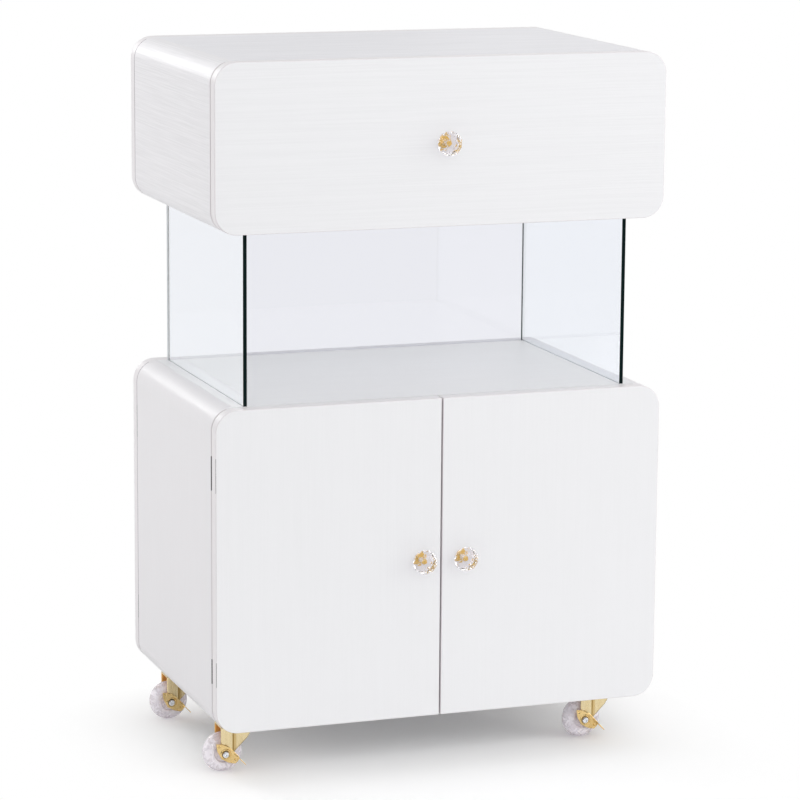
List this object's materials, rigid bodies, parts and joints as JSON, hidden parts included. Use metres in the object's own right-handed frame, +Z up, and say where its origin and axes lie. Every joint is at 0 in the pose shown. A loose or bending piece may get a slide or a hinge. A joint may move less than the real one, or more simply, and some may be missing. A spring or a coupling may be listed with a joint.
{
  "type": "rolling storage cart",
  "caption": "Rolling kitchen storage cart: a drawer box over a glass-walled display bay over a cupboard with doors, on swivel casters with brakes.",
  "frame": {"origin": "on the floor, under the middle of the whole outline with its knobs", "axes": "+X to the right seen from the front, +Y to the back, +Z up"},
  "size_m": [0.6, 0.412, 0.916],
  "materials": {
    "white_board": "satin white film with a fine wood grain emboss",
    "plain_board": "satin white film",
    "pane_glass": "clear polished",
    "clear_crystal": "clear faceted",
    "gold_metal": "satin gold plating",
    "clear_wheel": "clear polished",
    "steel": "zinc plated",
    "bright_steel": "polished plating",
    "dowel_wood": "raw beech"
  },
  "bodies": {
    "cabinet": {"upper_left_side": "white_board", "upper_right_side": "white_board", "upper_top": "white_board", "upper_bottom": "white_board", "upper_back": "white_board", "lower_left_side": "white_board", "lower_right_side": "white_board", "lower_top": "white_board", "lower_bottom": "white_board", "lower_back": "white_board", "left_glass": "pane_glass", "right_glass": "pane_glass", "back_glass": "pane_glass", "outer_slide_rails": "steel", "hinge_arms": "steel", "hinge_pins": "steel", "caster_plates": "gold_metal", "cabinet_screws": "steel", "panel_dowels": "dowel_wood"},
    "slide_cages": {"ball_cages": "steel", "slide_balls": "bright_steel"},
    "drawer": {"drawer_front": "white_board", "drawer_left_side": "plain_board", "drawer_right_side": "plain_board", "drawer_back": "plain_board", "drawer_bottom": "plain_board", "inner_slide_rails": "steel", "drawer_screws": "steel", "drawer_dowels": "dowel_wood", "drawer_knob_crystal": "clear_crystal", "drawer_knob_base": "gold_metal", "drawer_knob_screw": "steel"},
    "left_door": {"left_door": "white_board", "left_hinge_cups": "steel", "left_cup_screws": "steel", "left_door_knob_crystal": "clear_crystal", "left_door_knob_base": "gold_metal", "left_door_knob_screw": "steel"},
    "right_door": {"right_door": "white_board", "right_hinge_cups": "steel", "right_cup_screws": "steel", "right_door_knob_crystal": "clear_crystal", "right_door_knob_base": "gold_metal", "right_door_knob_screw": "steel"},
    "front_left_fork": {"front_left_caster_fork": "gold_metal", "front_left_caster_axle": "bright_steel"},
    "front_left_wheel": {"front_left_caster_wheel": "clear_wheel"},
    "front_left_brake": {"front_left_caster_brake": "gold_metal"},
    "front_right_fork": {"front_right_caster_fork": "gold_metal", "front_right_caster_axle": "bright_steel"},
    "front_right_wheel": {"front_right_caster_wheel": "clear_wheel"},
    "front_right_brake": {"front_right_caster_brake": "gold_metal"},
    "rear_left_fork": {"rear_left_caster_fork": "gold_metal", "rear_left_caster_axle": "bright_steel"},
    "rear_left_wheel": {"rear_left_caster_wheel": "clear_wheel"},
    "rear_left_brake": {"rear_left_caster_brake": "gold_metal"},
    "rear_right_fork": {"rear_right_caster_fork": "gold_metal", "rear_right_caster_axle": "bright_steel"},
    "rear_right_wheel": {"rear_right_caster_wheel": "clear_wheel"},
    "rear_right_brake": {"rear_right_caster_brake": "gold_metal"}
  },
  "joints": [
    {"name": "drawer_slide", "type": "slide", "parent": "cabinet", "child": "drawer", "axis": [0, -1, 0], "range_m": [0, 0.21]},
    {"name": "cage_slide", "type": "slide", "parent": "cabinet", "child": "slide_cages", "axis": [0, -1, 0], "range_m": [0, 0.105]},
    {"name": "left_door_hinge", "type": "hinge", "parent": "cabinet", "child": "left_door", "pos_m": [-0.293, -0.1704, 0.276], "axis": [0, 0, -1], "range_deg": [0, 95]},
    {"name": "right_door_hinge", "type": "hinge", "parent": "cabinet", "child": "right_door", "pos_m": [0.293, -0.1704, 0.276], "axis": [0, 0, 1], "range_deg": [0, 95]},
    {"name": "front_left_swivel", "type": "hinge", "parent": "cabinet", "child": "front_left_fork", "pos_m": [-0.249, -0.112, 0.062], "axis": [0, 0, 1], "continuous": true},
    {"name": "front_left_wheel_roll", "type": "hinge", "parent": "front_left_fork", "child": "front_left_wheel", "pos_m": [-0.273, -0.112, 0.026], "axis": [0, 1, 0], "continuous": true},
    {"name": "front_left_brake_lever", "type": "hinge", "parent": "front_left_fork", "child": "front_left_brake", "pos_m": [-0.273, -0.112, 0.026], "axis": [0, -1, 0], "range_deg": [0, 24]},
    {"name": "front_right_swivel", "type": "hinge", "parent": "cabinet", "child": "front_right_fork", "pos_m": [0.249, -0.112, 0.062], "axis": [0, 0, 1], "continuous": true},
    {"name": "front_right_wheel_roll", "type": "hinge", "parent": "front_right_fork", "child": "front_right_wheel", "pos_m": [0.225, -0.112, 0.026], "axis": [0, 1, 0], "continuous": true},
    {"name": "front_right_brake_lever", "type": "hinge", "parent": "front_right_fork", "child": "front_right_brake", "pos_m": [0.225, -0.112, 0.026], "axis": [0, -1, 0], "range_deg": [0, 24]},
    {"name": "rear_left_swivel", "type": "hinge", "parent": "cabinet", "child": "rear_left_fork", "pos_m": [-0.249, 0.139, 0.062], "axis": [0, 0, 1], "continuous": true},
    {"name": "rear_left_wheel_roll", "type": "hinge", "parent": "rear_left_fork", "child": "rear_left_wheel", "pos_m": [-0.273, 0.139, 0.026], "axis": [0, 1, 0], "continuous": true},
    {"name": "rear_left_brake_lever", "type": "hinge", "parent": "rear_left_fork", "child": "rear_left_brake", "pos_m": [-0.273, 0.139, 0.026], "axis": [0, -1, 0], "range_deg": [0, 24]},
    {"name": "rear_right_swivel", "type": "hinge", "parent": "cabinet", "child": "rear_right_fork", "pos_m": [0.249, 0.139, 0.062], "axis": [0, 0, 1], "continuous": true},
    {"name": "rear_right_wheel_roll", "type": "hinge", "parent": "rear_right_fork", "child": "rear_right_wheel", "pos_m": [0.225, 0.139, 0.026], "axis": [0, 1, 0], "continuous": true},
    {"name": "rear_right_brake_lever", "type": "hinge", "parent": "rear_right_fork", "child": "rear_right_brake", "pos_m": [0.225, 0.139, 0.026], "axis": [0, -1, 0], "range_deg": [0, 24]}
  ],
  "couplings": [
    {"joint": "cage_slide", "follows": "drawer_slide", "ratio": 0.5}
  ]
}
